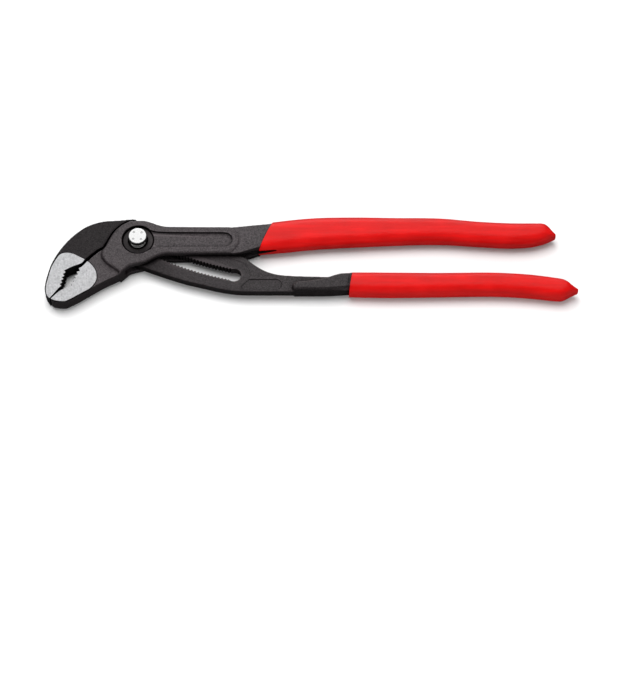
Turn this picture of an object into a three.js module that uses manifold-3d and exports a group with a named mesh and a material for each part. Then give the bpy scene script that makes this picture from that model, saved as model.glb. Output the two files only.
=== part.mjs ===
// Tongue and groove pliers with push-button adjustment, nominal length 300 mm.
// Millimetres. The joint axis is the Z axis, the handles run towards +X, and the
// tool lies with its back cheek on the plane z = 0.
import * as THREE from 'three';
import { mergeVertices } from 'three/addons/utils/BufferGeometryUtils.js';
import Module from 'manifold-3d';

const wasm = await Module();
wasm.setup();

// ---- driving dimensions -------------------------------------------------
const THICKNESS = 12; // over the two cheeks
const MID = THICKNESS / 2;
const PLATE = 5; // toothed plate that slides between the cheeks
const GAP = 5.2; // clear space between the cheeks
const JAW = 8.4; // forged jaw
const GROUND_JAW = 9; // ground strips beside the mouth
const SHANK = 11; // handle shank of the box leg, outside the grip
const NECK = 10; // neck of the toothed leg, outside the grip
const TANG = 8.4; // handle tang, inside the grips
const EDGE = 0.8; // chamfer around the cheeks
const NECK_EDGE = 1.0; // chamfer around the neck

// curved slot with locking teeth on both sides
const SLOT_RADIUS = 187;
const SLOT_START = THREE.MathUtils.degToRad(-120.2);
const SLOT_STEPS = 30;
const TOOTH_ANGLE = THREE.MathUtils.degToRad(0.6);
const SLOT_TIP = 3.15; // centreline to tooth tip
const SLOT_TOOTH = 0.6; // tooth depth
const SLOT_END = 4.1; // round ends
const SLOT_CENTRE = new THREE.Vector2(
  -SLOT_RADIUS * Math.cos(SLOT_START),
  -SLOT_RADIUS * Math.sin(SLOT_START),
);

// locking bolt, push button and their bores
const BOLT_HEAD = 5;
const BOLT_FLAT = 3; // half width of the plain double-D
const BOLT_ROUND = 3.95;
const BOLT_SHAFT = 3;
const BOLT_SPIGOT = 1.5;
const BORE_PLAY = 0.15;
const LOCK_LOW = 3.6; // toothed length of the bolt, along z
const LOCK_HIGH = 5.4;
const COUNTERBORE = 9.25;
const COUNTERBORE_DEPTH = 1;
const RING_OUTER = 8.4;
const RING_THICKNESS = 0.5;
const BUTTON_RADIUS = 5.18;
const BUTTON_TOP = 16;
const BUTTON_SKIRT = 13.7;
const BUTTON_ROOF = 0.9;
const SPRING_WIRE = 0.5;
const SPRING_TURNS = 2.25;
const SPRING_RADIUS = 4.05;
const RING_TOP = THICKNESS - COUNTERBORE_DEPTH + RING_THICKNESS;

const PANEL_DEPTH = 0.5;
const PLATE_PANEL_DEPTH = 0.3;
const GRIP_WALL = 1.9; // plastic beside the tang, in plan
const GRIP_FIT = 0.3;
const TANG_EDGE = 1.5; // chamfer along the tang
const GRIP_SQUARENESS = 2.9; // 2 is an ellipse
const ROUND_STEPS = 48;

// handle grips in plan: [x, lower edge, upper edge]
const BOX_HANDLE = [
  [64, -7.5, 11.4], [76.5, -5.5, 13.6], [96.5, -2.8, 16.1], [120.6, -1.1, 16.8],
  [145, 0.2, 16.3], [171, 0.9, 16], [191, -0.4, 13.9], [211, -1.5, 12.7],
  [223, -0.7, 12.6], [230.2, 1.3, 12.2], [232.4, 2.2, 10.9], [234.3, 3.1, 8.3], [237.1, 4.3, 5.5],
];
const TOOTHED_HANDLE = [
  [108, -32.9, -19.2], [120.6, -33.1, -19.4], [140.8, -33.6, -19.5], [171, -33.2, -19.8],
  [201, -32.8, -19.6], [221.2, -34, -20.9], [234.3, -35.6, -22.8], [238.3, -35.7, -23.6],
  [241, -34.6, -24.7], [243, -33.3, -26.3], [244.8, -32.3, -28.3], [248.1, -31.2, -30],
];

// ---- outline helpers ----------------------------------------------------
const vectors = (points) => points.map(([x, y]) => new THREE.Vector2(x, y));

// a smooth run through the given points
function smooth(points, perSpan = 3) {
  return new THREE.SplineCurve(vectors(points)).getPoints((points.length - 1) * perSpan);
}

// an arc about a centre, from one angle to another
function arc(centre, radius, from, to, steps) {
  return Array.from({ length: steps + 1 }, (_, i) => {
    const angle = from + ((to - from) * i) / steps;
    return new THREE.Vector2(radius, 0).rotateAround(new THREE.Vector2(), angle).add(centre);
  });
}

// joins runs of points into a closed shape, without doubled points
function shapeOf(...runs) {
  const points = runs.flat();
  const kept = points.filter((p, i) => p.distanceTo(points.at(i - 1)) > 1e-3);
  return new THREE.Shape(kept);
}

// a row of teeth between two points; positive depth rises to the left of travel
function teeth(from, to, count, depth, lean) {
  const [start, end] = vectors([from, to]);
  const pitch = end.clone().sub(start).divideScalar(count);
  const rise = new THREE.Vector2(-pitch.y, pitch.x).setLength(Math.abs(depth));
  const tip = pitch.clone().multiplyScalar(lean).addScaledVector(rise, Math.sign(depth));
  return Array.from({ length: count }, (_, i) => {
    const root = start.clone().addScaledVector(pitch, i);
    return [root, root.clone().add(tip)];
  }).flat().concat([end]);
}

// ---- solid helpers ------------------------------------------------------
function solid(geometry) {
  const bare = geometry.clone();
  bare.deleteAttribute('normal');
  bare.deleteAttribute('uv');
  const merged = mergeVertices(bare, 1e-4);
  return new wasm.Manifold(new wasm.Mesh({
    numProp: 3,
    vertProperties: new Float32Array(merged.attributes.position.array),
    triVerts: new Uint32Array(merged.index.array),
  }));
}

function geometryOf(manifold) {
  const mesh = manifold.getMesh();
  const geometry = new THREE.BufferGeometry();
  geometry.setAttribute('position', new THREE.BufferAttribute(mesh.vertProperties, 3));
  geometry.setIndex(new THREE.BufferAttribute(mesh.triVerts, 1));
  geometry.computeVertexNormals();
  return geometry;
}

// a shape raised between two heights, with an optional chamfer on both faces
function prism(shape, low, high, chamfer = 0) {
  const geometry = new THREE.ExtrudeGeometry(shape, {
    depth: high - low - 2 * chamfer,
    bevelEnabled: chamfer > 0,
    bevelThickness: chamfer,
    bevelSize: chamfer,
    bevelOffset: -chamfer,
    bevelSegments: 1,
  });
  geometry.translate(0, 0, low + chamfer);
  return solid(geometry);
}

// a shape raised equally to both sides of the middle plane
function slab(shape, thickness, chamfer = 0) {
  return prism(shape, MID - thickness / 2, MID + thickness / 2, chamfer);
}

// a round disc about the joint axis or another centre
function disc(radius, low, high, centre = new THREE.Vector2()) {
  return prism(shapeOf(arc(centre, radius, 0, 2 * Math.PI, ROUND_STEPS).slice(1)), low, high);
}

// a solid of revolution about Z from [radius, z] pairs
function turned(profile) {
  const geometry = new THREE.LatheGeometry(vectors(profile), ROUND_STEPS);
  return solid(geometry.rotateX(Math.PI / 2));
}

// ---- outlines shared by both legs ---------------------------------------
// the mouth of the upper jaw, from its tip to the throat
const UPPER_MOUTH = [
  ...vectors([[-48.2, -37.1]]),
  ...teeth([-43.2, -30.3], [-40.7, -19.5], 5, -0.9, 0.6),
  ...smooth([[-39.2, -18.3], [-36.2, -16.6], [-32.2, -15], [-30.7, -13.8], [-29.7, -12.2]]),
];
// the mouth of the lower jaw, from the throat to its tip
const LOWER_MOUTH = [
  ...vectors([[-28.1, -13.4], [-29.7, -15.4]]),
  ...teeth([-31.2, -17.1], [-36.4, -29], 5, -1.1, 0.5),
  ...vectors([[-37.4, -30], [-40.2, -30.8], [-43.2, -32.8], [-47.5, -37.4]]),
];

// plan outline of a handle, drawn in by an inset, between two x positions
function handleShape(rows, inset, from, to) {
  const line = new THREE.CatmullRomCurve3(rows.map((row) => new THREE.Vector3(...row)));
  const inside = line.getSpacedPoints(36).filter((p) => p.x > from && p.x < to);
  const low = inside.map((p) => new THREE.Vector2(p.x, p.y + inset));
  const high = inside.map((p) => new THREE.Vector2(p.x, p.z - inset)).reverse();
  return shapeOf(low, high);
}

// ---- box leg: both cheeks, the lower jaw and the upper handle ------------
function cheekShape() {
  const top = smooth([
    [-4.8, 12.8], [0, 12.8], [3.5, 12.7], [7.3, 11.5], [11.3, 9.9], [15.4, 8.9], [20, 8.75],
  ]);
  const rearEnd = arc(new THREE.Vector2(47.8, 0), 9.6, 1.1, -1.1, 10);
  const bottom = smooth([
    [20, -8.9], [15.4, -8.9], [10, -11], [4.7, -14.1], [-3.3, -16.4], [-6, -18.4], [-9.6, -22],
  ]);
  const jawStep = smooth([
    [-10.1, -20.4], [-14.1, -17.4], [-17.4, -14.8], [-19.8, -11.4], [-20.4, -8.7], [-19.8, -6.3],
  ]);
  const front = smooth([[-18.1, -4], [-17.1, -1.3], [-15.1, 3], [-12.8, 6.7], [-9.4, 10.1]]);
  return shapeOf(top, rearEnd, bottom, jawStep, front);
}

function lowerJawShape() {
  const outer = smooth([
    [-47.5, -37.4], [-46.2, -38.7], [-43.2, -39.3], [-40.2, -39.3], [-37.2, -38.4],
    [-30.2, -34.2], [-20.1, -27.3], [-9.6, -21.5],
  ]);
  const inside = vectors([[-4, -16], [-10, -8], [-17.8, -5.2]]);
  const parting = smooth([[-19.6, -5.3], [-21.9, -6.9], [-24.9, -9.7], [-28.1, -13.4]]);
  return shapeOf(LOWER_MOUTH, outer, inside, parting);
}

function lowerGroundShape() {
  const border = smooth([
    [-47.5, -37.4], [-45.2, -38.5], [-41.7, -39], [-38.7, -38.7], [-33.2, -35.4], [-29.2, -32.9],
    [-25.6, -30.4], [-22.7, -25.6], [-23.1, -19.9], [-26.1, -15.1], [-28.1, -13.4],
  ]);
  return shapeOf(LOWER_MOUTH, border);
}

function shankShape() {
  const top = [[74, 10.6], [64.3, 9.6], [57.6, 8.8], [45, 7.5]];
  const bottom = [[45, -7.5], [54.3, -8.8], [58.3, -8.1], [63.6, -6.3], [70, -4], [78, -2.2]];
  return shapeOf(vectors(top), vectors(bottom), vectors([[82, 11]]));
}

// where the toothed leg passes between the cheeks, seen in plan
function passageShape() {
  const web = smooth([
    [84, -5.3], [60, -3], [45, -1.2], [30, 1.8], [20, 5.6], [13.5, 10.2], [11, 14],
  ]);
  const outside = vectors([[6, 25], [-30, 25], [-30, -2], [-19.6, -4.6], [-14.5, -6.1]]);
  const lowerWeb = vectors([[-12.2, -7.7], [-6.7, -18.7], [-4, -26], [0, -45], [84, -45]]);
  return shapeOf(web, outside, lowerWeb);
}

function cheekPanelShape() {
  const roundEnd = arc(new THREE.Vector2(48.9, 0), 4.75, -Math.PI / 2, Math.PI / 2, 10);
  const flare = [[17.4, 4.9], [11.4, 5.2], [7.3, 6.1], [4.7, 7.2], [0, 5]];
  return shapeOf(roundEnd, vectors(flare), vectors([[0, -5], [6, -7], [8.8, -6.2], [12, -5]]));
}

function boxLeg() {
  const shank = slab(shankShape(), SHANK);
  const tang = slab(handleShape(BOX_HANDLE, GRIP_WALL, 72, 230), TANG, TANG_EDGE);
  const panel = cheekPanelShape();
  return slab(cheekShape(), THICKNESS, EDGE)
    .add(slab(lowerJawShape(), JAW))
    .add(slab(lowerGroundShape(), GROUND_JAW))
    .add(shank.subtract(gripMouthCutter(0.5)))
    .add(tang)
    .subtract(slab(passageShape(), GAP))
    .subtract(disc(COUNTERBORE, THICKNESS - COUNTERBORE_DEPTH, THICKNESS + 1))
    .subtract(disc(BOLT_SHAFT + BORE_PLAY, MID, THICKNESS + 1))
    .subtract(disc(BOLT_HEAD + BORE_PLAY, -1, MID))
    .subtract(prism(panel, THICKNESS - PANEL_DEPTH, THICKNESS + 1))
    .subtract(prism(panel, -1, PANEL_DEPTH));
}

// ---- toothed leg: the upper jaw, the toothed plate and the lower handle --
// one toothed side of the slot; play moves the teeth towards the centreline
function slotSide(side, fromStep, toStep, play) {
  const count = 2 * (toStep - fromStep);
  return Array.from({ length: count + 1 }, (_, i) => {
    const angle = SLOT_START + TOOTH_ANGLE * (fromStep + i / 2);
    const root = i % 2 === 1 ? SLOT_TOOTH : 0;
    const radius = SLOT_RADIUS + side * (SLOT_TIP + root - play);
    return new THREE.Vector2(radius, 0).rotateAround(new THREE.Vector2(), angle).add(SLOT_CENTRE);
  });
}

function slotBand(fromStep, toStep, play) {
  const inner = slotSide(-1, fromStep, toStep, play).reverse();
  return shapeOf(slotSide(1, fromStep, toStep, play), inner);
}

function slotCutter() {
  const farAngle = SLOT_START + TOOTH_ANGLE * SLOT_STEPS;
  const [far] = arc(SLOT_CENTRE, SLOT_RADIUS, farAngle, farAngle, 1);
  return prism(slotBand(0, SLOT_STEPS, 0), -1, THICKNESS + 1)
    .add(disc(SLOT_END, -1, THICKNESS + 1))
    .add(disc(SLOT_END, -1, THICKNESS + 1, far));
}

function plateShape() {
  const deg = THREE.MathUtils.degToRad;
  const upper = arc(SLOT_CENTRE, SLOT_RADIUS - 12.6, deg(-121.4), deg(-101.6), 22);
  const hump = smooth([
    [61.5, -10.6], [64.4, -13.2], [67.3, -15.5], [72.3, -18.6], [78.2, -20.6], [83.8, -21.4],
    [93, -21.9], [110, -22.4],
  ]);
  const lower = smooth([
    [108, -32], [87, -32], [63, -31.9], [54.4, -31.4], [46, -29.9], [36, -27.3], [26.8, -24.8],
    [16.8, -21.3], [4.2, -16.3], [-6, -10.5], [-14.7, -5.6], [-19.6, -4.1],
  ]);
  return shapeOf(upper, hump, lower, vectors([[-22, 0], [-12, 13.2], [-5.2, 14.2], [0, 13.7]]));
}

function upperJawOuter() {
  return smooth([
    [-6.6, 14.2], [-12, 13.6], [-20.1, 13], [-28.2, 10.3], [-34.2, 6], [-40.2, -0.3],
    [-45.4, -8.3], [-48.8, -16.1], [-50.9, -25.6], [-51.3, -31.2], [-50.2, -34.8], [-48.2, -37.1],
  ]);
}

function upperJawShape() {
  const parting = smooth([[-29.7, -12.2], [-25.7, -8.3], [-22.6, -5.5], [-19.6, -3.8]]);
  const cheekSide = smooth([
    [-18.5, -4], [-17.55, -1.35], [-15.55, 3], [-13.2, 7], [-9.8, 10.5], [-7.1, 12.3], [-5.5, 13.1],
  ]);
  return shapeOf(upperJawOuter(), UPPER_MOUTH, parting, cheekSide);
}

function upperGroundShape() {
  const border = smooth([
    [-29.7, -12.2], [-33.2, -10.2], [-36.2, -8.6], [-39.2, -7.9], [-41.7, -8.1], [-43.7, -9],
    [-45.2, -11.1], [-48.1, -17.1], [-50.2, -27.1], [-50.6, -31.2], [-49.8, -35], [-48.2, -37.1],
  ]);
  return shapeOf(border, UPPER_MOUTH);
}

function neckShape() {
  const top = smooth([
    [120.1, -20.7], [115, -20.9], [111, -22], [106.8, -23.5], [97.9, -25.3], [90, -26.2],
    [87.9, -28], [87.4, -29.5], [88.3, -31.6],
  ]);
  return shapeOf(top, vectors([[104, -31.6], [119.4, -31.3]]));
}

function platePanelShape() {
  const roundEnd = arc(new THREE.Vector2(78, -27.4), 3.7, -Math.PI / 2, Math.PI / 2, 10);
  return shapeOf(roundEnd, vectors([[63.2, -23.7], [58.3, -28.6], [59.2, -31]]));
}

function toothedLeg() {
  const panel = platePanelShape();
  const face = MID + PLATE / 2;
  return slab(plateShape(), PLATE)
    .add(slab(upperJawShape(), JAW))
    .add(slab(upperGroundShape(), GROUND_JAW))
    .add(slab(neckShape(), NECK, NECK_EDGE))
    .add(slab(handleShape(TOOTHED_HANDLE, GRIP_WALL, 112, 240), TANG, TANG_EDGE))
    .subtract(slotCutter())
    .subtract(prism(panel, face - PLATE_PANEL_DEPTH, face + 1))
    .subtract(prism(panel, MID - PLATE / 2 - 1, MID - PLATE / 2 + PLATE_PANEL_DEPTH));
}

// ---- locking bolt, button, spring and ring -------------------------------
function jointBolt() {
  const shoulder = MID + GAP / 2 - 0.2;
  const head = disc(BOLT_HEAD, 0, MID - GAP / 2);
  const round = disc(BOLT_ROUND, MID - GAP / 2, shoulder);
  const lock = prism(slotBand(-4, 4, BORE_PLAY), MID - GAP / 2, LOCK_HIGH);
  const flats = plainDoubleD(LOCK_HIGH, shoulder);
  return head
    .add(round.intersect(lock.add(flats)))
    .add(disc(BOLT_SHAFT, shoulder, BUTTON_TOP - BUTTON_ROOF - 0.2))
    .add(disc(BOLT_SPIGOT, shoulder, BUTTON_TOP - 0.5));
}

// the bolt's smooth length: a block across the slot, later cut round
function plainDoubleD(low, high) {
  const along = new THREE.Vector2(-Math.sin(SLOT_START), Math.cos(SLOT_START)).multiplyScalar(6);
  const across = new THREE.Vector2(-along.y, along.x).setLength(BOLT_FLAT);
  const corner = (a, b) => along.clone().multiplyScalar(a).addScaledVector(across, b);
  const corners = [corner(-1, -1), corner(1, -1), corner(1, 1), corner(-1, 1)];
  return prism(new THREE.Shape(corners), low, high);
}

function pushButton() {
  const roof = BUTTON_TOP - BUTTON_ROOF;
  const wall = 0.45;
  const socket = BOLT_SPIGOT + BORE_PLAY;
  return turned([
    [0, BUTTON_TOP], [BUTTON_RADIUS - 0.5, BUTTON_TOP], [BUTTON_RADIUS, BUTTON_TOP - 0.5],
    [BUTTON_RADIUS, BUTTON_SKIRT], [BUTTON_RADIUS - wall, BUTTON_SKIRT],
    [BUTTON_RADIUS - wall, roof], [socket, roof], [socket, BUTTON_TOP - 0.35], [0, BUTTON_TOP - 0.35],
  ].reverse());
}

function springSeatRing() {
  const floor = THICKNESS - COUNTERBORE_DEPTH;
  const hole = BOLT_SHAFT + BORE_PLAY + 0.1;
  const section = [[hole, floor], [RING_OUTER, floor], [RING_OUTER, RING_TOP], [hole, RING_TOP]];
  return turned([...section, section[0]]);
}

class Helix extends THREE.Curve {
  constructor(radius, turns, low, high) {
    super();
    Object.assign(this, { radius, turns, low, high });
  }

  getPoint(t, target = new THREE.Vector3()) {
    const angle = 2 * Math.PI * this.turns * t;
    const height = THREE.MathUtils.lerp(this.low, this.high, t);
    return target.set(this.radius * Math.cos(angle), this.radius * Math.sin(angle), height);
  }
}

function buttonSpring() {
  const low = RING_TOP + SPRING_WIRE / 2 + 0.05;
  const high = BUTTON_TOP - BUTTON_ROOF - SPRING_WIRE / 2 - 0.05;
  const wire = new THREE.Shape().absarc(0, 0, SPRING_WIRE / 2, 0, 2 * Math.PI, false);
  return solid(new THREE.ExtrudeGeometry(wire, {
    curveSegments: 5,
    steps: 20 * SPRING_TURNS,
    extrudePath: new Helix(SPRING_RADIUS, SPRING_TURNS, low, high),
  }));
}

// ---- grips ---------------------------------------------------------------
// a rounded tube through the handle's stations, closed at both ends
function gripBody(rows) {
  const around = 24;
  const tip = rows.at(-1)[0];
  const line = new THREE.CatmullRomCurve3(rows.map((row) => new THREE.Vector3(...row)));
  const stations = line.getPoints(30);
  const positions = [];
  const bend = (v) => Math.sign(v) * Math.abs(v) ** (2 / GRIP_SQUARENESS);
  for (const { x, y: low, z: high } of stations) {
    const halfThickness = MID * Math.min(1, ((tip - x + 1) / 8) ** 0.45);
    for (let i = 0; i < around; i += 1) {
      const angle = (2 * Math.PI * i) / around;
      const y = (low + high) / 2 + ((high - low) / 2) * bend(Math.cos(angle));
      positions.push(x, y, MID + halfThickness * bend(Math.sin(angle)));
    }
  }
  const last = stations.length - 1;
  for (const { x, y: low, z: high } of [stations[0], stations[last]]) {
    positions.push(x, (low + high) / 2, MID);
  }
  const startCentre = positions.length / 3 - 2;
  const index = [];
  for (let i = 0; i < around; i += 1) {
    const next = (i + 1) % around;
    for (let s = 0; s < last; s += 1) {
      const ring = s * around;
      index.push(ring + i, ring + next, ring + around + i);
      index.push(ring + next, ring + around + next, ring + around + i);
    }
    index.push(startCentre, next, i);
    index.push(startCentre + 1, last * around + i, last * around + next);
  }
  const geometry = new THREE.BufferGeometry();
  geometry.setAttribute('position', new THREE.Float32BufferAttribute(positions, 3));
  geometry.setIndex(index);
  return solid(geometry);
}

// everything behind the slanted mouth of the box leg's grip, moved forward
function gripMouthCutter(forward) {
  const slant = [[77 - forward, 30], [77 - forward, 13.4], [69.3 - forward, -4.5], [69.3 - forward, -14]];
  return prism(shapeOf(vectors([[260, -14], [260, 30]]), vectors(slant)), -3, 15);
}

// the hollow that takes the tang
function gripCavity(rows, from, to) {
  return slab(handleShape(rows, GRIP_WALL - GRIP_FIT, from, to), TANG + 2 * GRIP_FIT, TANG_EDGE);
}

function boxLegGrip() {
  return gripBody(BOX_HANDLE)
    .intersect(gripMouthCutter(0))
    .subtract(gripCavity(BOX_HANDLE, 60, 230.6))
    .subtract(slab(passageShape(), GAP));
}

function toothedLegGrip() {
  const cavity = gripCavity(TOOTHED_HANDLE, 100, 240.6);
  const mouth = shapeOf(vectors([[119.2, -45], [121.4, -10], [260, -10], [260, -45]]));
  return gripBody(TOOTHED_HANDLE).intersect(prism(mouth, -3, 15)).subtract(cavity);
}

// ---- assembly ------------------------------------------------------------
const forged = { color: 0x4a4846, roughness: 0.55, metalness: 0.7 };
const turnedSteel = { color: 0x6d6a66, roughness: 0.4, metalness: 0.9 };
const chrome = { color: 0xe4e4e2, roughness: 0.15, metalness: 1 };
const wireSteel = { color: 0xa8a8a6, roughness: 0.3, metalness: 1 };
const redPlastic = { color: 0xd01414, roughness: 0.45, metalness: 0 };

const pliers = new THREE.Group();

function place(name, body, finish) {
  const mesh = new THREE.Mesh(geometryOf(body), new THREE.MeshStandardMaterial(finish));
  mesh.name = name;
  pliers.add(mesh);
}

place('box_leg', boxLeg(), forged);
place('toothed_leg', toothedLeg(), forged);
place('joint_bolt', jointBolt(), turnedSteel);
place('push_button', pushButton(), chrome);
place('button_spring', buttonSpring(), wireSteel);
place('spring_seat_ring', springSeatRing(), turnedSteel);
place('box_leg_grip', boxLegGrip(), redPlastic);
place('toothed_leg_grip', toothedLegGrip(), redPlastic);

export default pliers;
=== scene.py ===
"""Tongue and groove pliers: the looks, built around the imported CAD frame.

The legs are made the way the real ones are. The CAD solid, with its machined
features filled in, is turned into a softly rounded forging, and the machined
features are then cut into it: slot, counterbore, panels and ground jaw faces.
"""
import math

import bmesh
import bpy
import numpy as np
from mathutils import Matrix, Vector


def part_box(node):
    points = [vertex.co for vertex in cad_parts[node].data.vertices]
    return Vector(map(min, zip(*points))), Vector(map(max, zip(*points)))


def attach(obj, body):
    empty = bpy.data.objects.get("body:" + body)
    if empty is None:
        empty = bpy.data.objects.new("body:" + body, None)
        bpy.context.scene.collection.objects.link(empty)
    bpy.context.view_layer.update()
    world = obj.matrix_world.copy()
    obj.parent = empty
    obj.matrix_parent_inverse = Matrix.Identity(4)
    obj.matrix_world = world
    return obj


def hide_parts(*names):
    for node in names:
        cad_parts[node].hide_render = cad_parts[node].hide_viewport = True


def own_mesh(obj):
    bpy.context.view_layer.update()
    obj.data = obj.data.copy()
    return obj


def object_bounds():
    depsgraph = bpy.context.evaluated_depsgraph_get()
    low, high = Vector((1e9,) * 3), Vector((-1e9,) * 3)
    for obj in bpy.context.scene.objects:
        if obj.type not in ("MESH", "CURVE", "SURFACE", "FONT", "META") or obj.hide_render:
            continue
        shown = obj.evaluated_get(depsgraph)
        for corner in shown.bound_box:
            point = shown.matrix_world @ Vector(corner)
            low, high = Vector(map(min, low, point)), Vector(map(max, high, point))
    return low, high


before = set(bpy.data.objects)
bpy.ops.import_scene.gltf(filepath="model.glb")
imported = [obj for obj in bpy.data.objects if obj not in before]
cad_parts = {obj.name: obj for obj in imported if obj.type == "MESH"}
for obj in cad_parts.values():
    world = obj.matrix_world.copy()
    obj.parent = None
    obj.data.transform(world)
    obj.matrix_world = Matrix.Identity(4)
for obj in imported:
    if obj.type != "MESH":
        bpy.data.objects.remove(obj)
cad_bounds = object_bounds()
scene = bpy.context.scene

MM = 0.001
FLAT_TOLERANCE = 0.02 * MM
FORGE_VOXEL = 0.3 * MM
GRIP_VOXEL = 0.48 * MM
FORGE_ROUNDS = 12
GRIP_ROUNDS = 5
FACES_KEPT = 0.6
SHARP_ANGLE = math.radians(32)
TURNING_STEPS = 128
NOISE_LOW, NOISE_HIGH = 0.3, 0.7

LEG_LOW, LEG_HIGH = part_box("box_leg")
BOLT_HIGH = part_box("joint_bolt")[1]
BUTTON_LOW, BUTTON_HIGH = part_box("push_button")
RING_LOW, RING_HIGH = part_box("spring_seat_ring")
SPRING_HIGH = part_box("button_spring")[1]
MID = (LEG_LOW.z + LEG_HIGH.z) / 2
FRONT = LEG_HIGH.z
BACK = LEG_LOW.z
COUNTERBORE = RING_HIGH.x + 0.85 * MM
PASSAGE_HALF = 2.6 * MM
GROUND_RISE = 4.5 * MM
GROOVE_RISE = 3.6 * MM
GROOVE_WIDTH = 0.45 * MM
PANEL_DEPTH = 1.1 * MM
OVAL_DEPTH = 0.4 * MM
SHANK_STEP = 0.53 * MM
LAND_WIDTH = 5.2 * MM
LAND_DEPTH = 0.12 * MM
SEAM = 1.9 * MM
LOWER_LEAN = math.radians(-5)
RING_DROP = 0.8 * MM
CUP = 6.05 * MM
CUP_FLOOR = MID + 3.4 * MM
PLATE_HALF = 2.5 * MM
TOOTH_DEEPER = 0.3 * MM
NOTCH_TURN = (55, 90)
SHOULDER_END = -6.7 * MM
NECK_LENGTH = 27 * MM
TANG_PLAY = 0.12 * MM
GRIP_SQUARENESS = 2.6
GRIP_AROUND = 64


# ---- meshes ---------------------------------------------------------------
def new_object(name, mesh):
    made = bpy.data.objects.new(name, mesh)
    scene.collection.objects.link(made)
    return made


def object_from(bm, name):
    bmesh.ops.recalc_face_normals(bm, faces=bm.faces)
    mesh = bpy.data.meshes.new(name)
    bm.to_mesh(mesh)
    bm.free()
    return new_object(name, mesh)


def cad_solid(node, name):
    """A closed copy of a CAD node, with its split vertices joined again."""
    bm = bmesh.new()
    bm.from_mesh(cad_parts[node].data)
    bmesh.ops.remove_doubles(bm, verts=bm.verts, dist=0.001 * MM)
    return object_from(bm, name)


def apply_modifiers(thing):
    shown = thing.evaluated_get(bpy.context.evaluated_depsgraph_get())
    mesh = bpy.data.meshes.new_from_object(shown)
    thing.modifiers.clear()
    thing.data = mesh
    return thing


def combine(target, tool, operation):
    """Cuts, joins or keeps the shared part, and uses the tool up."""
    step = target.modifiers.new("machine", "BOOLEAN")
    step.object = tool
    step.operation = operation
    step.solver = "MANIFOLD"
    step.material_mode = "TRANSFER"
    apply_modifiers(target)
    bpy.data.objects.remove(tool)
    return target


def cut(target, *tools):
    for tool in tools:
        combine(target, tool, "DIFFERENCE")
    return target


def join(target, *tools):
    for tool in tools:
        combine(target, tool, "UNION")
    return target


def keep(target, tool):
    return combine(target, tool, "INTERSECT")


def soften(thing, voxel, rounds):
    """Rebuilds the surface as even small faces and rounds its edges off.

    Only a share of the faces is kept, most of them where the surface curves.
    """
    remesh = thing.modifiers.new("forge", "REMESH")
    remesh.mode = "VOXEL"
    remesh.voxel_size = voxel
    relax = thing.modifiers.new("relax", "SMOOTH")
    relax.factor = 0.5
    relax.iterations = rounds
    thin = thing.modifiers.new("thin", "DECIMATE")
    thin.ratio = FACES_KEPT
    return apply_modifiers(thing)


def shade(thing):
    """Smooth shading, with the edges sharper than SHARP_ANGLE kept crisp."""
    bm = bmesh.new()
    bm.from_mesh(thing.data)
    for face in bm.faces:
        face.smooth = True
    for edge in bm.edges:
        if len(edge.link_faces) == 2:
            edge.smooth = edge.calc_face_angle(0.0) < SHARP_ANGLE
    bm.to_mesh(thing.data)
    bm.free()
    return thing


# ---- outlines -------------------------------------------------------------
def flat_loops(solid, height):
    """Closed outlines of the upward level faces at a height, largest first.

    Outer outlines have a positive area and holes a negative one.
    """
    bm = bmesh.new()
    bm.from_mesh(solid.data)
    level = {
        face
        for face in bm.faces
        if face.normal.z > 0.99
        and all(abs(v.co.z - height) < FLAT_TOLERANCE for v in face.verts)
    }
    follows = {}
    for face in level:
        for corner in face.loops:
            others = [f for f in corner.edge.link_faces if f is not face]
            if not others or others[0] not in level:
                follows[corner.vert] = corner.link_loop_next.vert
    outlines = []
    while follows:
        start = next(iter(follows))
        run, at = [], start
        while at in follows:
            run.append((at.co.x, at.co.y))
            at = follows.pop(at)
        outlines.append(run)
    bm.free()
    return sorted(outlines, key=lambda run: -abs(area(run)))


def area(run):
    return 0.5 * sum(a[0] * b[1] - b[0] * a[1] for a, b in zip(run, run[1:] + run[:1]))


def circle(radius, steps=96):
    turn = 2 * math.pi / steps
    return [(radius * math.cos(i * turn), radius * math.sin(i * turn)) for i in range(steps)]


def hull(points):
    """Convex hull, counter-clockwise."""
    points = sorted(set(points))

    def half(run):
        chain = []
        for p in run:
            while len(chain) > 1 and area([chain[-2], chain[-1], p]) <= 0:
                chain.pop()
            chain.append(p)
        return chain[:-1]

    return half(points) + half(points[::-1])


def split_at_mouth(outline):
    """Divides a ground face's outline into its mouth edge and its outer border.

    The mouth is the hollow under the longest side of the outline's hull.
    """
    corners = hull(outline)
    sides = zip(corners, corners[1:] + corners[:1])
    tail, head = max(sides, key=lambda side: math.dist(*side))
    order = outline if area(outline) > 0 else outline[::-1]
    start = order.index(tail)
    turned = order[start:] + order[:start]
    end = turned.index(head)
    return turned[: end + 1], turned[end:] + turned[:1]


def beside(run, distance):
    """A run of points moved sideways, to its right."""
    points = [Vector(p) for p in run]
    moved = []
    for i, p in enumerate(points):
        ahead = points[min(i + 1, len(points) - 1)] - points[max(i - 1, 0)]
        side = Vector((ahead.y, -ahead.x)).normalized() * distance
        moved.append(tuple(p + side))
    return moved


def deepen_teeth(outline, inside):
    """Moves the notch roots of a toothed outline further into the steel.

    The steel is inside the outline of a ground face and outside that of the slot.
    """
    sign = 1 if area(outline) > 0 else -1
    points = [Vector(p) for p in outline]
    moved = []
    for i, p in enumerate(points):
        into = (p - points[i - 1]).normalized()
        out = (points[(i + 1) % len(points)] - p).normalized()
        turn = math.degrees(math.atan2(into.cross(out), into.dot(out))) * sign
        root = NOTCH_TURN[0] < (-turn if inside else turn) < NOTCH_TURN[1]
        away = (into - out).normalized() * TOOTH_DEEPER if root else Vector((0, 0))
        moved.append(tuple(p + away))
    return moved


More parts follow.
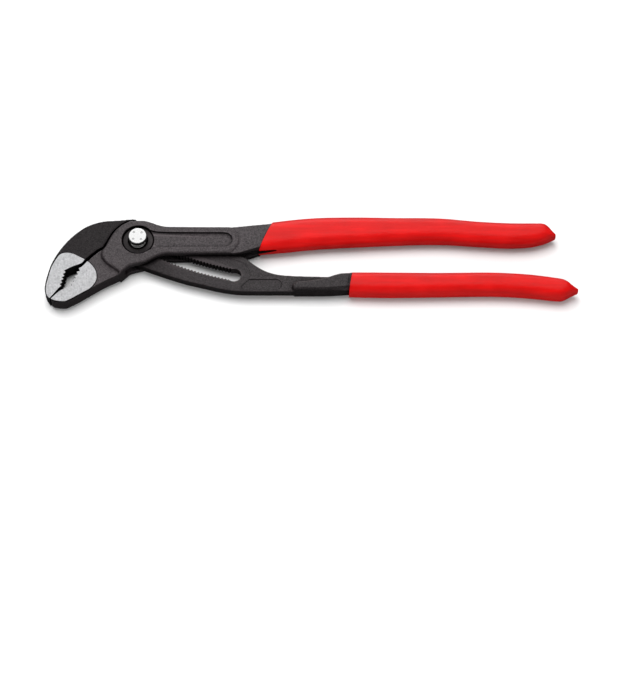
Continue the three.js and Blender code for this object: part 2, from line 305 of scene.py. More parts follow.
# ---- simple tools ---------------------------------------------------------
def prism(outline, low, high, material=None):
    bm = bmesh.new()
    bottom = [bm.verts.new((x, y, low)) for x, y in outline]
    top = [bm.verts.new((x, y, high)) for x, y in outline]
    bm.faces.new(top)
    bm.faces.new(bottom[::-1])
    for i, _ in enumerate(outline):
        j = (i + 1) % len(outline)
        bm.faces.new((bottom[i], bottom[j], top[j], top[i]))
    made = object_from(bm, "tool")
    if material:
        made.data.materials.append(material)
    return made


def lathe(profile):
    """A solid of revolution about the joint axis from (radius, height) pairs.

    The profile starts and ends on the axis, or closes on itself.
    """
    bm = bmesh.new()
    rings = []
    for radius, height in profile:
        if radius < 1e-9:
            rings.append([bm.verts.new((0, 0, height))] * TURNING_STEPS)
        else:
            around = circle(radius, TURNING_STEPS)
            rings.append([bm.verts.new((x, y, height)) for x, y in around])
    closed = profile[0][0] > 1e-9
    following = rings[1:] + rings[:1] if closed else rings[1:]
    for lower, upper in zip(rings, following):
        for i in range(TURNING_STEPS):
            j = (i + 1) % TURNING_STEPS
            corners = dict.fromkeys((lower[i], lower[j], upper[j], upper[i]))
            bm.faces.new(list(corners))
    return object_from(bm, "tool")


def box_tool(low, high):
    outline = [(low[0], low[1]), (high[0], low[1]), (high[0], high[1]), (low[0], high[1])]
    return prism(outline, low[2], high[2])


def tube(bm, rings):
    """Skins a row of equal rings of vertices and closes its two ends."""
    for near, far in zip(rings, rings[1:]):
        for i, _ in enumerate(near):
            j = (i + 1) % len(near)
            bm.faces.new((near[i], near[j], far[j], far[i]))
    bm.faces.new(rings[0][::-1])
    bm.faces.new(rings[-1])


def mirror_in_thickness(solid):
    """The same tool at the other face of the pliers."""
    solid.data.transform(Matrix.Translation((0, 0, 2 * MID)) @ Matrix.Scale(-1, 4, (0, 0, 1)))
    solid.data.flip_normals()
    return solid


# ---- materials ------------------------------------------------------------
def start_material(name):
    material = bpy.data.materials.new(name)
    material.use_nodes = True
    tree = material.node_tree
    return material, tree, tree.nodes["Principled BSDF"]


def add_node(tree, kind, **values):
    node = tree.nodes.new(kind)
    for key, value in values.items():
        if key in node.inputs:
            node.inputs[key].default_value = value
        else:
            setattr(node, key, value)
    return node


def noise(tree, scale, detail, stretch=(1, 1, 1), turn=0.0):
    """Solid noise in the object's own space; scale is in waves per metre."""
    place = add_node(tree, "ShaderNodeTexCoord")
    mapping = add_node(tree, "ShaderNodeMapping")
    mapping.inputs["Rotation"].default_value = (0, 0, turn)
    mapping.inputs["Scale"].default_value = stretch
    texture = add_node(tree, "ShaderNodeTexNoise", Scale=scale, Detail=detail)
    tree.links.new(place.outputs["Object"], mapping.inputs["Vector"])
    tree.links.new(mapping.outputs["Vector"], texture.inputs["Vector"])
    return texture.outputs["Fac"]


def ramp(tree, source, low, high):
    """Maps a 0..1 signal to a colour range."""
    node = add_node(tree, "ShaderNodeValToRGB")
    node.color_ramp.elements[0].position = NOISE_LOW
    node.color_ramp.elements[1].position = NOISE_HIGH
    node.color_ramp.elements[0].color = (*low, 1)
    node.color_ramp.elements[1].color = (*high, 1)
    tree.links.new(source, node.inputs["Fac"])
    return node.outputs["Color"]


def spread(tree, source, low, high):
    """Maps a 0..1 signal to a number range."""
    node = add_node(tree, "ShaderNodeMapRange")
    node.inputs["From Min"].default_value = NOISE_LOW
    node.inputs["From Max"].default_value = NOISE_HIGH
    node.inputs["To Min"].default_value = low
    node.inputs["To Max"].default_value = high
    tree.links.new(source, node.inputs["Value"])
    return node.outputs["Result"]


def bump(tree, shader, height, distance, strength, under=None):
    """Adds a bump to the shader's normal, over the bump underneath if there is one."""
    node = add_node(tree, "ShaderNodeBump", Distance=distance, Strength=strength)
    tree.links.new(height, node.inputs["Height"])
    if under:
        tree.links.new(under, node.inputs["Normal"])
    tree.links.new(node.outputs["Normal"], shader.inputs["Normal"])
    return node.outputs["Normal"]


def edge_highlight(tree, base, light, amount):
    """Painted highlight: lightens the colour on convex edges."""
    geometry = add_node(tree, "ShaderNodeNewGeometry")
    edge = add_node(tree, "ShaderNodeMapRange")
    edge.inputs["From Min"].default_value = 0.515
    edge.inputs["From Max"].default_value = 0.57
    edge.inputs["To Max"].default_value = amount
    mix = add_node(tree, "ShaderNodeMix", data_type="RGBA")
    tree.links.new(geometry.outputs["Pointiness"], edge.inputs["Value"])
    tree.links.new(edge.outputs["Result"], mix.inputs["Factor"])
    tree.links.new(base, mix.inputs[6])
    mix.inputs[7].default_value = (*light, 1)
    return mix.outputs[2]


def scaled(tree, *factors):
    """The product of number sockets and plain numbers."""
    product = factors[0]
    for factor in factors[1:]:
        node = add_node(tree, "ShaderNodeMath", operation="MULTIPLY")
        for socket, value in zip(node.inputs, (product, factor)):
            if isinstance(value, (int, float)):
                socket.default_value = value
            else:
                tree.links.new(value, socket)
        product = node.outputs[0]
    return product


def tinted(tree, colour, factor):
    """A colour socket multiplied by a number or colour socket."""
    mix = add_node(tree, "ShaderNodeMix", data_type="RGBA", blend_type="MULTIPLY")
    mix.inputs[0].default_value = 1.0
    tree.links.new(colour, mix.inputs[6])
    tree.links.new(factor, mix.inputs[7])
    return mix.outputs[2]


def corner_shade(tree, reach):
    """Painted shade: falls from 1 towards 0 in corners and crevices, from ambient occlusion."""
    corners = add_node(tree, "ShaderNodeAmbientOcclusion", Distance=reach)
    corners.samples = 8
    power = add_node(tree, "ShaderNodeMath", operation="POWER")
    power.inputs[1].default_value = 2.2
    tree.links.new(corners.outputs["AO"], power.inputs[0])
    return power.outputs[0]


def facing_shade(tree, wall):
    """Painted shade: 1 on the faces that look up or down and a smaller number on the side walls."""
    place = add_node(tree, "ShaderNodeTexCoord")
    split = add_node(tree, "ShaderNodeSeparateXYZ")
    level = add_node(tree, "ShaderNodeMath", operation="ABSOLUTE")
    node = add_node(tree, "ShaderNodeMapRange")
    node.inputs["From Min"].default_value = 0.2
    node.inputs["From Max"].default_value = 0.9
    node.inputs["To Min"].default_value = wall
    tree.links.new(place.outputs["Normal"], split.inputs[0])
    tree.links.new(split.outputs["Z"], level.inputs[0])
    tree.links.new(level.outputs[0], node.inputs["Value"])
    return node.outputs["Result"]


def toward_jaw(tree, start, end, dark):
    """A slow change along the tool, from dark at the jaw end to 1."""
    place = add_node(tree, "ShaderNodeTexCoord")
    split = add_node(tree, "ShaderNodeSeparateXYZ")
    node = add_node(tree, "ShaderNodeMapRange", interpolation_type="SMOOTHSTEP")
    node.inputs["From Min"].default_value = start
    node.inputs["From Max"].default_value = end
    node.inputs["To Min"].default_value = dark
    tree.links.new(place.outputs["Object"], split.inputs[0])
    tree.links.new(split.outputs["X"], node.inputs["Value"])
    return node.outputs["Result"]


def forged_steel(name, tone, jaw=1.0):
    """Dark phosphated forging: satin, fine-grained, slightly clouded, with painted highlights on convex
    edges and painted shade in corners and on side walls.
    """
    material, tree, shader = start_material(name)
    cloud = noise(tree, 60, 4)
    grain = noise(tree, 1700, 4)
    low = tuple(0.85 * c for c in tone)
    high = tuple(1.18 * c for c in tone)
    speckle = spread(tree, grain, 0.4, 1.6)
    colour = tinted(tree, ramp(tree, cloud, low, high), speckle)
    # painted highlight: lighter colour on the convex edges
    colour = edge_highlight(tree, colour, tuple(2.8 * c for c in tone), 0.5)
    # painted shade in corners, times the darkening towards the jaw end
    shade_and_jaw_dark = scaled(tree, corner_shade(tree, 3 * MM), toward_jaw(tree, 0.0, 0.03, jaw))
    # painted shade in corners and on the side walls, multiplied into the colour
    colour = tinted(tree, colour, scaled(tree, shade_and_jaw_dark, facing_shade(tree, 0.45)))
    tree.links.new(colour, shader.inputs["Base Color"])
    # the painted shade also dulls the gloss in corners and on the side walls
    gloss = scaled(tree, shade_and_jaw_dark, spread(tree, grain, 0.27, 0.57), facing_shade(tree, 0.6))
    tree.links.new(gloss, shader.inputs["Specular IOR Level"])
    tree.links.new(spread(tree, cloud, 0.4, 0.54), shader.inputs["Roughness"])
    coarse = bump(tree, shader, noise(tree, 600, 3), 0.03 * MM, 0.5)
    bump(tree, shader, grain, 0.045 * MM, 0.7, coarse)
    return material


def ground_steel(name):
    """Bare ground faces beside the mouth, with fine parallel scratches."""
    material, tree, shader = start_material(name)
    scratch = noise(tree, 900, 4, (2.4, 0.3, 1.0), math.radians(12))
    patches = noise(tree, 1100, 4)
    colour = ramp(tree, scratch, (0.38, 0.38, 0.39), (0.52, 0.52, 0.53))
    colour = tinted(tree, colour, spread(tree, patches, 0.74, 1.14))
    tree.links.new(colour, shader.inputs["Base Color"])
    shader.inputs["Metallic"].default_value = 0.55
    tree.links.new(spread(tree, scratch, 0.34, 0.5), shader.inputs["Roughness"])
    bump(tree, shader, scratch, 0.012 * MM, 0.5)
    return material


def plated_steel(name, tone, roughness, metallic=1.0):
    """Bright or dull turned metal, with faint turning marks about the axis."""
    material, tree, shader = start_material(name)
    shader.inputs["Metallic"].default_value = metallic
    marks = noise(tree, 1500, 2)
    colour = ramp(tree, marks, tuple(0.94 * c for c in tone), tone)
    tree.links.new(colour, shader.inputs["Base Color"])
    dull = spread(tree, marks, roughness * 0.85, roughness * 1.2)
    tree.links.new(dull, shader.inputs["Roughness"])
    bump(tree, shader, marks, 0.006 * MM, 0.4)
    return material


def dipped_plastic(name):
    """Red vinyl coating: soft sheen, orange peel, faint flow marks along its length."""
    material, tree, shader = start_material(name)
    cloud = noise(tree, 90, 3)
    flow = noise(tree, 380, 3, (0.09, 1, 1))
    colour = ramp(tree, cloud, (0.49, 0.0012, 0.001), (0.56, 0.0022, 0.0018))
    colour = tinted(tree, colour, spread(tree, flow, 0.86, 1.12))
    tree.links.new(colour, shader.inputs["Base Color"])
    tree.links.new(spread(tree, cloud, 0.31, 0.4), shader.inputs["Roughness"])
    shader.inputs["Specular IOR Level"].default_value = 0.27
    shader.inputs["Subsurface Weight"].default_value = 0.05
    shader.inputs["Subsurface Radius"].default_value = (0.8 * MM, 0.1 * MM, 0.1 * MM)
    marks = bump(tree, shader, flow, 0.12 * MM, 0.6)
    peel = bump(tree, shader, noise(tree, 800, 3), 0.12 * MM, 0.9, marks)
    bump(tree, shader, noise(tree, 2500, 2), 0.01 * MM, 0.4, peel)
    return material


FORGED = forged_steel("forged_steel", (0.035, 0.029, 0.031))
PLATE = forged_steel("plate_steel", (0.018, 0.0145, 0.0155), jaw=0.55)
# near-black steel set where there is shade: painted shade in the button's cup and the fork slit
SHADE_BLACK = forged_steel("shade_black_steel", (0.009, 0.008, 0.008), jaw=0.3)
GROUND = ground_steel("ground_steel")
CHROME = plated_steel("button_chrome", (0.88, 0.88, 0.88), 0.18)
SEAT = forged_steel("seat_steel", (0.03, 0.026, 0.027), jaw=0.4)
# darker copy of the chrome: painted shade in the dimples
SHADED_DIMPLE_CHROME = plated_steel("button_dimple_shaded", (0.6, 0.6, 0.6), 0.22)
# dark copy of the chrome: painted dark reflection on the button's side
SHADED_SIDE_CHROME = plated_steel("button_side_shaded", (0.09, 0.088, 0.088), 0.25)
TURNED = plated_steel("bolt_steel", (0.2, 0.195, 0.19), 0.42)
SPRING = plated_steel("spring_steel", (0.6, 0.6, 0.59), 0.28, 0.4)
PLASTIC = dipped_plastic("grip_plastic")


# ---- legs -----------------------------------------------------------------
def ground_outline(solid):
    return flat_loops(solid, MID + GROUND_RISE)[0]


def clear_ground_face(leg, outline):
    """Takes the raised ground strip off the stock, before it is softened."""
    cut(leg, prism(outline, MID + GROUND_RISE - 0.3 * MM, FRONT))
    cut(leg, prism(outline, BACK, MID - GROUND_RISE + 0.3 * MM))


def fit_ground_face(leg, outline, steel):
    """Gives a leg its ground, toothed strip beside the mouth."""
    outline = deepen_teeth(outline, True)
    mouth, border = split_at_mouth(outline)
    groove = beside(border, GROOVE_WIDTH) + border[::-1]
    for near, far in ((MID + GROOVE_RISE, FRONT), (BACK, MID - GROOVE_RISE)):
        cut(leg, prism(groove, near, far, steel))
    cut(leg, prism(mouth, BACK - MM, FRONT + MM, steel))
    strip = prism(outline, MID - GROUND_RISE, MID + GROUND_RISE, steel)
    strip.data.materials.append(GROUND)
    for face in strip.data.polygons:
        face.material_index = 1 if abs(face.normal.z) > 0.5 else 0
    return join(leg, strip)


def shank_end(solid, grip_node):
    """The plane where a leg's steel stops being visible in front of its grip."""
    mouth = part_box(grip_node)[0].x
    ends = [
        face
        for face in solid.data.polygons
        if face.normal.x > 0.85 and abs(face.normal.z) < 0.01 and abs(face.center.x - mouth) < 9 * MM
    ]
    face = max(ends, key=lambda f: f.area)
    return face.center.copy(), face.normal.copy()


def lengthen(leg, node, point, along):
    """Runs the stock on past its end, so that the end can be cut square later."""
    end = cad_solid(node, "end")
    near, far = (extents(end, point.x - back * MM) for back in (8, 5))
    slope = (far[0] + far[1] - near[0] - near[1]) / (6 * MM)
    keep(end, half_space(point - along * 2.2 * MM, along))
    cut(end, half_space(point - along * 0.01 * MM, along))
    cut(leg, half_space(point - along * 0.01 * MM, along))
    end.data.transform(Matrix.Translation(Vector((1, slope, 0)) * 2.1 * MM))
    return join(leg, end)


def cut_to_length(leg, node, point, along, lean):
    """Cuts the softened stock off at its end and adds the tang hidden in the grip."""
    cut(leg, half_space(*leaning(node, point, along, lean)))
    tang = cad_solid(node, "tang")
    keep(tang, half_space(point + along * 0.01 * MM, along))
    tang.data.transform(Matrix.Translation(along * -0.1 * MM))
    return join(leg, tang)


def leaning(node, point, along, lean):
    """An end plane leant over about the upper edge of the leg."""
    solid = cad_solid(node, "solid")
    top = extents(solid, point.x - 4 * MM)[1]
    bpy.data.objects.remove(solid)
    pivot = point + Vector((-along.y, along.x, 0)) * (top - point.y) / along.x
    return pivot + along * abs(lean) * 11 * MM, Matrix.Rotation(lean, 3, "Z") @ along


def finish_leg(leg, body, node):
    shade(leg)
    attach(leg, body)
    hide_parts(node)


def cheek_steps(solid):
    """Outlines of the long panel in the cheek, and of the shank behind its end."""
    floors = [run for run in flat_loops(solid, FRONT - 0.5 * MM) if area(run) > 0]
    floors.sort(key=lambda run: min(p[0] for p in run))
    return floors[0], floors[-1]


def machine_box_leg(leg, panel, shank):
    cut(leg, prism(shank, FRONT - SHANK_STEP, FRONT + MM))
    cut(leg, mirror_in_thickness(prism(shank, FRONT - SHANK_STEP, FRONT + MM)))
    cut(leg, prism(panel, FRONT - PANEL_DEPTH, FRONT + MM))
    cut(leg, mirror_in_thickness(prism(panel, FRONT - PANEL_DEPTH, FRONT + MM)))
    floor = RING_LOW.z - RING_DROP
    lip = COUNTERBORE + 0.3 * MM
    cut(leg, lathe([
        (0, floor), (COUNTERBORE, floor), (COUNTERBORE, FRONT - 0.2 * MM),
        (lip, FRONT + 0.1 * MM), (lip, FRONT + MM), (0, FRONT + MM),
    ]))
    moat = (RING_HIGH.x + 0.1 * MM, floor - 0.9 * MM)
    cut(leg, lathe([moat, (COUNTERBORE, moat[1]), (COUNTERBORE, FRONT), (moat[0], FRONT)]))
    cut(leg, prism(circle(CUP), CUP_FLOOR - 0.45 * MM, FRONT))
    cut(leg, prism(circle(3.15 * MM), MID, FRONT))
    head = BOLT_HIGH.x
    cut(leg, lathe([
        (0, BACK - MM), (head + 0.4 * MM, BACK - MM), (head + 0.4 * MM, BACK - 0.1 * MM),
        (head + 0.08 * MM, BACK + 0.25 * MM), (head + 0.08 * MM, MID), (0, MID),
    ]))


def box_leg():
    solid = cad_solid("box_leg", "solid")
    panel, shank = cheek_steps(solid)
    ground = ground_outline(solid)
    point, along = shank_end(solid, "box_leg_grip")
    leg = cad_solid("box_leg", "box_leg_forging")
    lengthen(leg, "box_leg", point, along)
    join(leg, prism(circle(10 * MM), MID + PASSAGE_HALF, FRONT))
    join(leg, prism(circle(7 * MM), BACK, MID - PASSAGE_HALF))
    join(leg, prism(panel, FRONT - MM, FRONT))
    join(leg, mirror_in_thickness(prism(panel, FRONT - MM, FRONT)))
    clear_ground_face(leg, ground)
    leg.data.materials.clear()
    leg.data.materials.append(FORGED)
    soften(leg, FORGE_VOXEL, FORGE_ROUNDS)
    cut_to_length(leg, "box_leg", point, along, 0)
    machine_box_leg(leg, panel, shank)
    fit_ground_face(leg, ground, FORGED)
    bpy.data.objects.remove(solid)
    finish_leg(leg, "box_leg", "box_leg")


def clear_cheeks(leg):
    """Sets the jaw's shoulder back from the cheeks, which leaves a dark seam there."""
    solid = cad_solid("box_leg", "solid")
    outline = flat_loops(solid, FRONT)[0]
    bpy.data.objects.remove(solid)
    around = hull([p for p in beside(outline + outline[:1], SEAM) if p[0] < 2 * MM])
    face = MID + PLATE_HALF
    for near, far in ((face, FRONT), (BACK, BACK + FRONT - face)):
        cut(leg, prism(around, near, far))


def extend_shoulder(leg):
    """Runs the jaw's shoulder on to a thin tip over the top of the cheeks."""
    _, crest, low, high = extents(leg, SHOULDER_END)
    plan = [
        (-8, -0.9), (-4.6, -0.85), (-2.6, -0.5), (-1.3, -0.2),
        (-1.3, 0.05), (-3.6, 0.25), (-6.5, 0.05), (-8, -0.2),
    ]
    join(leg, prism([(x * MM, crest + y * MM) for x, y in plan], low, high))


def bevel_neck(leg, grip_node):
    """Takes a flat off the lower edges of the neck, broadest where the grip starts."""
    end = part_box(grip_node)[0].x
    start = end - NECK_LENGTH
    left = extents(leg, start)[0]
    right = extents(leg, end - 2 * MM)[0]
    for side in (1, -1):
        rise = side * 5 * MM
        near = Vector((start, left, MID + rise))
        far = Vector((end, right + 2.2 * MM, MID + rise))
        foot = Vector((end, right, MID + rise - side * 2.4 * MM))
        outward = (far - near).cross(foot - near).normalized()
        block = half_space(near, outward if outward.y < 0 else -outward)
        keep(block, box_tool((start, -0.1, -0.05), (end + 9 * MM, 0.1, 0.05)))
        cut(leg, block)


def toothed_leg():
    solid = cad_solid("toothed_leg", "solid")
    face = MID + PLATE_HALF
    holes = [run for run in flat_loops(solid, face) if area(run) < 0]
    slot, panel = holes[0][::-1], holes[1][::-1]
    ground = ground_outline(solid)
    point, along = shank_end(solid, "toothed_leg_grip")
    leg = cad_solid("toothed_leg", "toothed_leg_forging")
    lengthen(leg, "toothed_leg", point, along)
    join(leg, prism(hull(slot), MID - PLATE_HALF, face))
    join(leg, prism(panel, face - MM, face))
    join(leg, mirror_in_thickness(prism(panel, face - MM, face)))
    clear_ground_face(leg, ground)
    clear_cheeks(leg)
    extend_shoulder(leg)
    leg.data.materials.clear()
    leg.data.materials.append(PLATE)
    soften(leg, FORGE_VOXEL, FORGE_ROUNDS)
    cut_to_length(leg, "toothed_leg", point, along, LOWER_LEAN)
    land = beside(hull(slot) + hull(slot)[:1], LAND_WIDTH)[:-1]
    floor_up = face - LAND_DEPTH
    for near, far in ((floor_up, FRONT), (BACK, BACK + FRONT - floor_up)):
        milled = prism(land, near, far)
        keep(milled, box_tool((0, -0.1, BACK - MM), (0.1, 0.1, FRONT + MM)))
        cut(leg, milled)
    bevel_neck(leg, "toothed_leg_grip")
    cut(leg, prism(deepen_teeth(slot, False), BACK, FRONT))
    cut(leg, prism(panel, face - OVAL_DEPTH, face + MM))
    cut(leg, mirror_in_thickness(prism(panel, face - OVAL_DEPTH, face + MM)))
    fit_ground_face(leg, ground, PLATE)
    bpy.data.objects.remove(solid)
    finish_leg(leg, "toothed_leg", "toothed_leg")


# ---- bolt, button, ring and spring ------------------------------------------
def push_button():
    """Plated cap with a rounded rim, a groove under it and four dimples."""
    radius, low, top = BUTTON_HIGH.x, BUTTON_LOW.z, BUTTON_HIGH.z
    edge = 0.55 * MM
    rim = [
        (radius - edge + edge * math.sin(a), top - edge + edge * math.cos(a))
        for a in np.linspace(0, math.pi / 2, 9)
    ]
    profile = [(0, top)] + rim + [
        (radius, low + 0.15 * MM), (radius - 0.15 * MM, low), (radius - 0.45 * MM, low),
        (radius - 0.45 * MM, top - 0.9 * MM), (1.7 * MM, top - 0.9 * MM),
        (1.7 * MM, top - 0.4 * MM), (0, top - 0.4 * MM),
    ]
    button = lathe(profile[::-1])
    button.name = "push_button_cap"
    button.data.materials.append(CHROME)
    button.data.materials.append(SHADED_SIDE_CHROME)
    # the side below the rim takes the dark chrome: painted dark reflection
    for face in button.data.polygons:
        face.material_index = int(face.center.z < top - 0.6 * edge)
    for corner in range(4):
        angle = math.radians(42 + 90 * corner)
        centre = Vector((math.cos(angle), math.sin(angle), 0)) * 0.6 * radius
        bm = bmesh.new()
        bmesh.ops.create_uvsphere(bm, u_segments=48, v_segments=32, radius=3 * MM)
        dimple = object_from(bm, "dimple")
        dimple.data.transform(Matrix.Translation((centre.x, centre.y, top + 2.9 * MM)))
        # the dimples take the darker chrome: painted shade
        dimple.data.materials.append(SHADED_DIMPLE_CHROME)
        cut(button, dimple)
    shade(button)
    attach(button, "locking_bolt")
    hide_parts("push_button")


def joint_bolt():
    """The CAD bolt with its edges broken."""
    bolt = cad_solid("joint_bolt", "joint_bolt_turned")
    bolt.data.materials.clear()
    bolt.data.materials.append(TURNED)
    cut(bolt, lathe([
        (BOLT_HIGH.x - 0.3 * MM, BACK - MM), (BOLT_HIGH.x + MM, BACK - MM),
        (BOLT_HIGH.x + MM, BACK + 1.3 * MM), (BOLT_HIGH.x - 0.3 * MM, BACK),
    ]))
    shade(bolt)
    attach(bolt, "locking_bolt")
    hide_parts("joint_bolt")


def seat_ring():
    """A raised annulus round a deep cup that the button and its spring sit in."""
    outer, low, top = RING_HIGH.x, RING_LOW.z - RING_DROP, RING_HIGH.z - RING_DROP
    edge = 0.12 * MM
    wall, inner = CUP - 0.05 * MM, CUP - 0.3 * MM
    ring = lathe([
        (3.25 * MM, CUP_FLOOR - 0.4 * MM), (wall, CUP_FLOOR - 0.4 * MM), (wall, low),
        (outer - edge, low), (outer, low + edge), (outer, top - edge), (outer - edge, top),
        (inner + edge, top), (inner, top - edge), (inner, CUP_FLOOR), (3.25 * MM, CUP_FLOOR),
    ])
    ring.name = "spring_seat_cup"
    ring.data.materials.append(SEAT)
    ring.data.materials.append(SHADE_BLACK)
    # the inside of the cup is near-black: painted shade
    for face in ring.data.polygons:
        middle = face.center
        face.material_index = int(math.hypot(middle.x, middle.y) < inner + 0.01 * MM)
    shade(ring)
    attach(ring, "joint_pivot")
    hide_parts("spring_seat_ring")


def coil_spring():
    """Round wire wound in a helix, its ends turned flat."""
    wire = 0.25 * MM
    radius = SPRING_HIGH.x - wire
    turns, steps, around = 4.5, 48, 12
    count = int(turns * steps)
    low, top = CUP_FLOOR + wire, SPRING_HIGH.z - wire
    bm = bmesh.new()
    rings = []
    for i in range(count + 1):
        share = i / count
        climb = min(1.0, max(0.0, (share - 0.12) / 0.76))
        angle = 2 * math.pi * turns * share
        centre = Vector((radius * math.cos(angle), radius * math.sin(angle), low + (top - low) * climb))
        outward = Vector((math.cos(angle), math.sin(angle), 0))
        rings.append([
            bm.verts.new(centre + wire * (math.cos(a) * outward + math.sin(a) * Vector((0, 0, 1))))
            for a in np.linspace(0, 2 * math.pi, around, endpoint=False)
        ])
    tube(bm, rings)
    spring = object_from(bm, "button_spring_coil")
    spring.data.materials.append(SPRING)
    shade(spring)
    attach(spring, "joint_pivot")
    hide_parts("button_spring")
    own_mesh(spring)


# ---- grips ------------------------------------------------------------------
def extents(solid, x):
    """Lowest and highest y and z where a solid crosses the plane at x."""
    co = np.array([v.co for v in solid.data.vertices])
    ends = co[np.array([e.vertices for e in solid.data.edges])]
    first, second = ends[:, 0], ends[:, 1]
    across = (first[:, 0] - x) * (second[:, 0] - x) < 0
    first, second = first[across], second[across]
    share = ((x - first[:, 0]) / (second[:, 0] - first[:, 0]))[:, None]
    hit = first + share * (second - first)
    return hit[:, 1].min(), hit[:, 1].max(), hit[:, 2].min(), hit[:, 2].max()


def smooth_curve(xs, values, at):
    """Cubic interpolation through the values, with finite-difference slopes."""
    slopes = np.gradient(values, xs)
    spot = np.clip(np.searchsorted(xs, at) - 1, 0, len(xs) - 2)
    width = xs[spot + 1] - xs[spot]
    t = (at - xs[spot]) / width
    a, b = values[spot], values[spot + 1]
    return (
        (2 * t**3 - 3 * t**2 + 1) * a
        + (t**3 - 2 * t**2 + t) * width * slopes[spot]
        + (3 * t**2 - 2 * t**3) * b
        + (t**3 - t**2) * width * slopes[spot + 1]
    )


def loft(xs, low, high, half):
    """A closed tube of rounded sections along x, about the middle plane."""
    bm = bmesh.new()
    angles = np.linspace(0, 2 * math.pi, GRIP_AROUND, endpoint=False)

    def curl(v):
        return np.sign(v) * np.abs(v) ** (2 / GRIP_SQUARENESS)

    rings = []
    for x, lo, hi, h in zip(xs, low, high, half):
        y = (lo + hi) / 2 + (hi - lo) / 2 * curl(np.cos(angles))
        z = MID + h * curl(np.sin(angles))
        rings.append([bm.verts.new((x, b, c)) for b, c in zip(y, z)])
    tube(bm, rings)
    return object_from(bm, "grip_loft")


def grip_skin(solid, node):
    """The grip's outer shape, smoothly redrawn through the CAD grip's sections."""
    low_corner, high_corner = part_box(node)
    first = low_corner.x + 9 * MM
    last = high_corner.x - 0.15 * MM
    body = np.arange(first, last - 22 * MM, 7 * MM)
    tip = np.linspace(last - 16 * MM, last, 9)
    xs = np.concatenate([body, tip])
    rows = np.array([extents(solid, x) for x in xs])
    front_xs = np.array([low_corner.x - 4 * MM])
    back_slope = (rows[1] - rows[0]) / (xs[1] - xs[0])
    rows = np.vstack([rows[0] + back_slope * (front_xs - xs[0]), rows])
    xs = np.concatenate([front_xs, xs])
    fine = np.concatenate([
        np.linspace(xs[0], last - 16 * MM, 90, endpoint=False),
        np.linspace(last - 16 * MM, last, 40),
    ])
    low, high, bottom, top = (smooth_curve(xs, rows[:, i], fine) for i in range(4))
    return loft(fine, low, high, (top - bottom) / 2)


def half_space(point, normal):
    """A large block filling the side of a plane that its normal points to."""
    reach = 2 * (LEG_HIGH.x - LEG_LOW.x)
    block = box_tool((0, -reach, -reach), (reach, reach, reach))
    turn = Vector((1, 0, 0)).rotation_difference(normal).to_matrix().to_4x4()
    block.data.transform(Matrix.Translation(point) @ turn)
    return block


def fork_slit():
    """The slit the fork leaves in the edge of the upper grip, narrowing to nothing."""
    solid = cad_solid("box_leg_grip", "solid")
    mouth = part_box("box_leg_grip")[0].x
    start, end = mouth - 4 * MM, mouth + 12 * MM
    edge_low = extents(solid, end)[0]
    bpy.data.objects.remove(solid)
    plan = [
        (start, edge_low - 20 * MM), (end, edge_low - 20 * MM), (end, edge_low - MM),
        (mouth, edge_low + 3.5 * MM), (start, edge_low + 5 * MM),
    ]
    # the slit's walls are near-black: painted shade in the slit
    slit = prism(plan, BACK, FRONT, SHADE_BLACK)
    side = [
        (start, MID - 1.2 * MM), (end - MM, MID + 1.5 * MM), (end, MID + 1.9 * MM),
        (end - MM, MID + 2.1 * MM), (start, MID + 2.5 * MM),
    ]
    wedge = prism(side, -0.1, 0.1, SHADE_BLACK)
    wedge.data.transform(Matrix.Rotation(math.pi / 2, 4, "X"))
    return keep(slit, wedge)


def tang_room(leg_node, point, along):
    """The space for the tang inside a grip, running out through the grip's mouth."""
    room = cad_solid(leg_node, "room")
    keep(room, half_space(point - along * 5 * MM, along))
    swell = room.modifiers.new("room", "DISPLACE")
    swell.strength = TANG_PLAY
    swell.mid_level = 0
    apply_modifiers(room)
    keep(room, half_space(point + along * 0.25 * MM, along))
    front = new_object("front", room.data.copy())
    front.data.transform(Matrix.Translation((-1.5 * MM, 0, 0)))
    return join(room, front)


def make_grip(leg_node, grip_node, body, lean, cuts=()):
    solid = cad_solid(grip_node, "solid")
    grip = grip_skin(solid, grip_node)
    grip.name = grip_node + "_dipped"
    bpy.data.objects.remove(solid)
    leg = cad_solid(leg_node, "leg")
    point, along = shank_end(leg, grip_node)
    bpy.data.objects.remove(leg)
    soften(grip, GRIP_VOXEL, GRIP_ROUNDS)
    lip, forward = leaning(leg_node, point, along, lean)
    cut(grip, half_space(lip + forward * 0.06 * MM, -forward))
    cut(grip, tang_room(leg_node, point, along))
    grip.data.materials.clear()
    grip.data.materials.append(PLASTIC)
    cut(grip, *cuts)
    shade(grip)
    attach(grip, body)
    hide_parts(grip_node)


def grips():
    make_grip("box_leg", "box_leg_grip", "box_leg", 0, [fork_slit()])
    make_grip("toothed_leg", "toothed_leg_grip", "toothed_leg", LOWER_LEAN)


# ---- stage ------------------------------------------------------------------
CAMERA_ELEVATION = math.radians(60)
CAMERA_DISTANCE = 1.3583
CAMERA_LENS = 124.7
CAMERA_OVER = (0.5096, 0.51)
CAMERA_AIM = (0.5105, -0.464)


def floor():
    material, tree, shader = start_material("floor_white")
    rays = add_node(tree, "ShaderNodeLightPath")
    bounce = add_node(tree, "ShaderNodeMix", data_type="RGBA")
    bounce.inputs[6].default_value = (0.5, 0.5, 0.5, 1)
    bounce.inputs[7].default_value = (0.08, 0.08, 0.08, 1)
    tree.links.new(rays.outputs["Is Glossy Ray"], bounce.inputs["Factor"])
    pale = add_node(tree, "ShaderNodeMix", data_type="RGBA")
    pale.inputs[7].default_value = (0.82, 0.82, 0.82, 1)
    tree.links.new(rays.outputs["Is Camera Ray"], pale.inputs["Factor"])
    tree.links.new(bounce.outputs[2], pale.inputs[6])
    tree.links.new(pale.outputs[2], shader.inputs["Base Color"])
    shader.inputs["Roughness"].default_value = 0.9
    bm = bmesh.new()
    bmesh.ops.create_grid(bm, x_segments=2, y_segments=2, size=4.0)
    ground = object_from(bm, "floor")
    ground.location.z = cad_bounds[0].z - 0.05 * MM
    ground.data.materials.append(material)


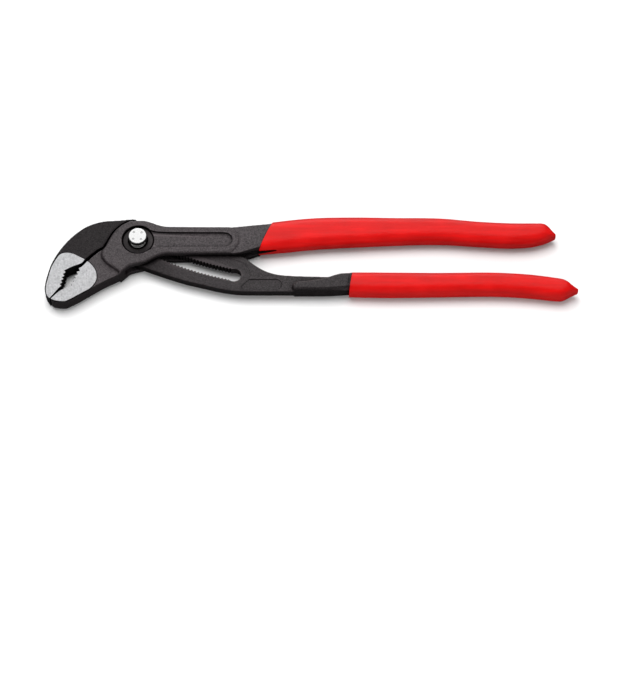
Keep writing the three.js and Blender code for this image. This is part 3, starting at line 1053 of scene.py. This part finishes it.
def area_light(name, place, aim, size, power):
    data = bpy.data.lights.new(name, "AREA")
    data.shape = "SQUARE"
    data.size = size
    data.energy = power
    lamp = new_object(name, data)
    lamp.location = place
    lamp.rotation_euler = (Vector(aim) - Vector(place)).to_track_quat("-Z", "Y").to_euler()
    return lamp


def lights():
    world = bpy.data.worlds.new("studio")
    world.use_nodes = True
    tree = world.node_tree
    sky = tree.nodes["Background"]
    rays = add_node(tree, "ShaderNodeLightPath")
    level = add_node(tree, "ShaderNodeMapRange")
    level.inputs["To Min"].default_value = 0.42
    level.inputs["To Max"].default_value = 0.06
    tree.links.new(rays.outputs["Is Glossy Ray"], level.inputs["Value"])
    tree.links.new(level.outputs["Result"], sky.inputs["Strength"])
    sky.inputs["Color"].default_value = (1, 1, 1, 1)
    scene.world = world
    middle = (0.1, -0.01, 0)
    key = area_light("key", (-0.1, 0.42, 1.3), middle, 1.15, 25)
    key.visible_glossy = False
    fill = area_light("fill", (0.15, -1.3, 0.5), middle, 0.9, 7)
    fill.visible_glossy = False
    softbox = area_light("softbox", (0.05, 0.98, 1.1), middle, 1.7, 9.3)
    softbox.visible_diffuse = False
    rim = area_light("rim", (0.05, 1.3, 0.45), middle, 0.8, 4)
    rim.visible_diffuse = False


def plan_point(share):
    """A point in the middle plane, at shares of the part's length and depth."""
    low, high = cad_bounds
    return Vector((
        low.x + share[0] * (high.x - low.x), low.y + share[1] * (high.y - low.y), MID,
    ))


def camera():
    """Looks from the front and above, aimed low so that the tool sits high in the image."""
    over, aim = plan_point(CAMERA_OVER), plan_point(CAMERA_AIM)
    data = bpy.data.cameras.new("camera")
    data.lens = CAMERA_LENS
    data.clip_end = 20
    eye = new_object("camera", data)
    back = Vector((0, -math.cos(CAMERA_ELEVATION), math.sin(CAMERA_ELEVATION)))
    eye.location = over + back * CAMERA_DISTANCE
    eye.rotation_euler = (aim - eye.location).to_track_quat("-Z", "Y").to_euler()
    scene.camera = eye


scene.view_settings.view_transform = "Standard"
box_leg()
toothed_leg()
push_button()
joint_bolt()
seat_ring()
coil_spring()
grips()
floor()
lights()
camera()
